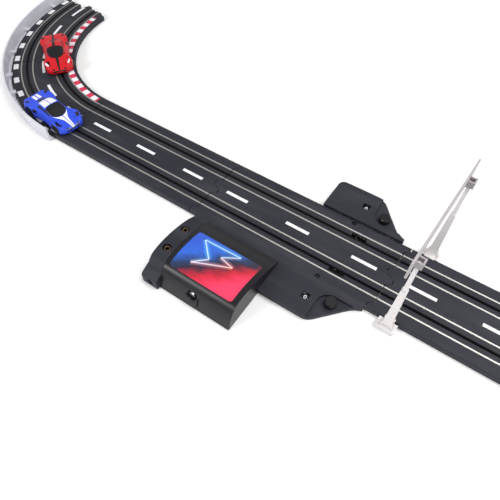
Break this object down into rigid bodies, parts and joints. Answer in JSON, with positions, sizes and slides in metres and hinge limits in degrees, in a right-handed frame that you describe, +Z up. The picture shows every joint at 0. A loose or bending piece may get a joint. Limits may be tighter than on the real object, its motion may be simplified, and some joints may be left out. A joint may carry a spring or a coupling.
{
  "type": "slot car track set",
  "caption": "Section of a two-lane slot car track with a battery power base, lap counters, start gantry, curve guard rails and two cars.",
  "frame": {"origin": "centre of the footprint, on the table", "axes": "+X along the straights from the curve towards the open end, +Y from the battery box side to the far side, +Z up"},
  "size_m": [0.7962, 0.3048, 0.11],
  "materials": {
    "black_track_plastic": "fine moulded grain",
    "black_cover_plastic": "satin",
    "black_part_plastic": "satin",
    "rail_steel": "rolled strip, slightly brushed",
    "zinc_plate": "dull plated",
    "brass": "bright",
    "green_board": "lacquered board",
    "cell_sleeve": "printed sleeve",
    "white_nylon": "satin",
    "gantry_white": "satin",
    "milky_plastic": "slightly clear, milky",
    "blue_body": "glossy paint",
    "red_body": "glossy paint",
    "smoked_screen": "polished, opaque black",
    "tyre_rubber": "matt",
    "white_paint": "printed on plastic",
    "red_paint": "printed on plastic",
    "sticker_print": "printed film"
  },
  "bodies": {
    "track": {"curve_2": "black_track_plastic", "curve_2_rails": "rail_steel", "curve_1": "black_track_plastic", "curve_1_rails": "rail_steel", "straight_1": "black_track_plastic", "straight_1_rails": "rail_steel", "straight_2": "black_track_plastic", "straight_2_rails": "rail_steel", "power_base": "black_track_plastic", "near_lane_outer_rail": "rail_steel", "near_lane_inner_rail": "rail_steel", "far_lane_inner_rail": "rail_steel", "far_lane_outer_rail": "rail_steel", "base_cover": "black_part_plastic", "controller_jack_rear": "brass", "controller_jack_front": "brass", "inlet_jack": "zinc_plate", "circuit_board": "green_board", "battery_1": "cell_sleeve", "battery_2": "cell_sleeve", "battery_3": "cell_sleeve", "battery_4": "cell_sleeve", "battery_springs": "zinc_plate", "battery_contact_plate": "zinc_plate", "counter_plate": "black_track_plastic", "gantry_near_post": "gantry_white", "gantry_far_post": "gantry_white", "gantry_banner": "gantry_white", "guard_rail_end": "milky_plastic", "guard_rail_curve_1": "milky_plastic", "guard_rail_curve_2": "milky_plastic"},
    "battery_cover": {"battery_cover": "black_cover_plastic"},
    "cover_screw": {"cover_screw": "zinc_plate"},
    "near_counter_wheel": {"near_counter_wheel": "white_nylon"},
    "far_counter_wheel": {"far_counter_wheel": "white_nylon"},
    "near_reset_knob": {"near_reset_knob": "black_part_plastic"},
    "far_reset_knob": {"far_reset_knob": "black_part_plastic"},
    "near_trip_lever": {"near_trip_lever": "white_nylon"},
    "far_trip_lever": {"far_trip_lever": "white_nylon"},
    "blue_car": {"blue_car_body": "blue_body", "blue_car_windscreen": "smoked_screen", "blue_car_chassis": "black_part_plastic", "blue_car_motor": "zinc_plate"},
    "blue_car_drive": {"blue_car_rear_axle": "zinc_plate", "blue_car_rear_left_wheel": "tyre_rubber", "blue_car_rear_right_wheel": "tyre_rubber"},
    "blue_car_pinion": {"blue_car_motor_pinion": "brass"},
    "blue_car_front_left": {"blue_car_front_left_wheel": "tyre_rubber"},
    "blue_car_front_right": {"blue_car_front_right_wheel": "tyre_rubber"},
    "red_car": {"red_car_body": "red_body", "red_car_windscreen": "smoked_screen", "red_car_chassis": "black_part_plastic", "red_car_motor": "zinc_plate"},
    "red_car_drive": {"red_car_rear_axle": "zinc_plate", "red_car_rear_left_wheel": "tyre_rubber", "red_car_rear_right_wheel": "tyre_rubber"},
    "red_car_pinion": {"red_car_motor_pinion": "brass"},
    "red_car_front_left": {"red_car_front_left_wheel": "tyre_rubber"},
    "red_car_front_right": {"red_car_front_right_wheel": "tyre_rubber"}
  },
  "joints": [
    {"name": "battery_cover_hinge", "type": "hinge", "parent": "track", "child": "battery_cover", "pos_m": [0.07569, -0.07299, 0.0063], "axis": [-1, 0, 0], "range_deg": [0, 80]},
    {"name": "cover_screw_slide", "type": "slide", "parent": "battery_cover", "child": "cover_screw", "axis": [0, -1, 0], "range_m": [0, 0.0045]},
    {"name": "near_counter_turn", "type": "hinge", "parent": "track", "child": "near_counter_wheel", "pos_m": [0.15719, -0.08199, 0.0021], "axis": [0, 0, 1], "continuous": true},
    {"name": "near_reset_turn", "type": "hinge", "parent": "track", "child": "near_reset_knob", "pos_m": [0.17319, -0.08229, 0.0021], "axis": [0, 0, 1], "continuous": true},
    {"name": "near_trip_swing", "type": "hinge", "parent": "track", "child": "near_trip_lever", "pos_m": [0.15049, -0.06459, 0.0031], "axis": [0, 0, -1], "range_deg": [0, 15], "stiffness_Nm_per_rad": 0.002},
    {"name": "far_counter_turn", "type": "hinge", "parent": "track", "child": "far_counter_wheel", "pos_m": [0.15719, 0.02401, 0.0053], "axis": [0, 0, 1], "continuous": true},
    {"name": "far_reset_turn", "type": "hinge", "parent": "track", "child": "far_reset_knob", "pos_m": [0.17319, 0.02431, 0.0053], "axis": [0, 0, 1], "continuous": true},
    {"name": "far_trip_swing", "type": "hinge", "parent": "track", "child": "far_trip_lever", "pos_m": [0.15049, 0.00661, 0.0031], "axis": [0, 0, 1], "range_deg": [0, 15], "stiffness_Nm_per_rad": 0.002},
    {"name": "blue_car_travel", "type": "hinge", "parent": "track", "child": "blue_car", "pos_m": [-0.17631, 0.14701, 0.006], "axis": [0, 0, 1], "range_deg": [-8, 0]},
    {"name": "blue_car_rear_axle_turn", "type": "hinge", "parent": "blue_car", "child": "blue_car_drive", "pos_m": [-0.2238, -0.04468, 0.0127], "axis": [0.0988, 0.9951, 0], "continuous": true},
    {"name": "blue_car_pinion_turn", "type": "hinge", "parent": "blue_car", "child": "blue_car_pinion", "pos_m": [-0.22042, -0.04502, 0.0127], "axis": [0.9951, -0.0988, 0], "continuous": true},
    {"name": "blue_car_front_left_turn", "type": "hinge", "parent": "blue_car", "child": "blue_car_front_left", "pos_m": [-0.17661, -0.035, 0.0121], "axis": [0.0988, 0.9951, 0], "continuous": true},
    {"name": "blue_car_front_right_turn", "type": "hinge", "parent": "blue_car", "child": "blue_car_front_right", "pos_m": [-0.17944, -0.06346, 0.0121], "axis": [0.0988, 0.9951, 0], "continuous": true},
    {"name": "red_car_travel", "type": "hinge", "parent": "track", "child": "red_car", "pos_m": [-0.17631, 0.14701, 0.006], "axis": [0, 0, 1], "range_deg": [-28, 3]},
    {"name": "red_car_rear_axle_turn", "type": "hinge", "parent": "red_car", "child": "red_car_drive", "pos_m": [-0.30416, 0.04782, 0.0127], "axis": [0.5988, 0.8009, 0], "continuous": true},
    {"name": "red_car_pinion_turn", "type": "hinge", "parent": "red_car", "child": "red_car_pinion", "pos_m": [-0.30144, 0.04578, 0.0127], "axis": [0.8009, -0.5988, 0], "continuous": true},
    {"name": "red_car_front_left_turn", "type": "hinge", "parent": "red_car", "child": "red_car_front_left", "pos_m": [-0.25875, 0.03173, 0.0121], "axis": [0.5988, 0.8009, 0], "continuous": true},
    {"name": "red_car_front_right_turn", "type": "hinge", "parent": "red_car", "child": "red_car_front_right", "pos_m": [-0.27588, 0.00882, 0.0121], "axis": [0.5988, 0.8009, 0], "continuous": true}
  ],
  "couplings": [
    {"joint": "near_reset_turn", "follows": "near_counter_turn", "ratio": -3},
    {"joint": "far_reset_turn", "follows": "far_counter_turn", "ratio": -3},
    {"joint": "blue_car_pinion_turn", "follows": "blue_car_rear_axle_turn", "ratio": -3},
    {"joint": "red_car_pinion_turn", "follows": "red_car_rear_axle_turn", "ratio": -3}
  ]
}
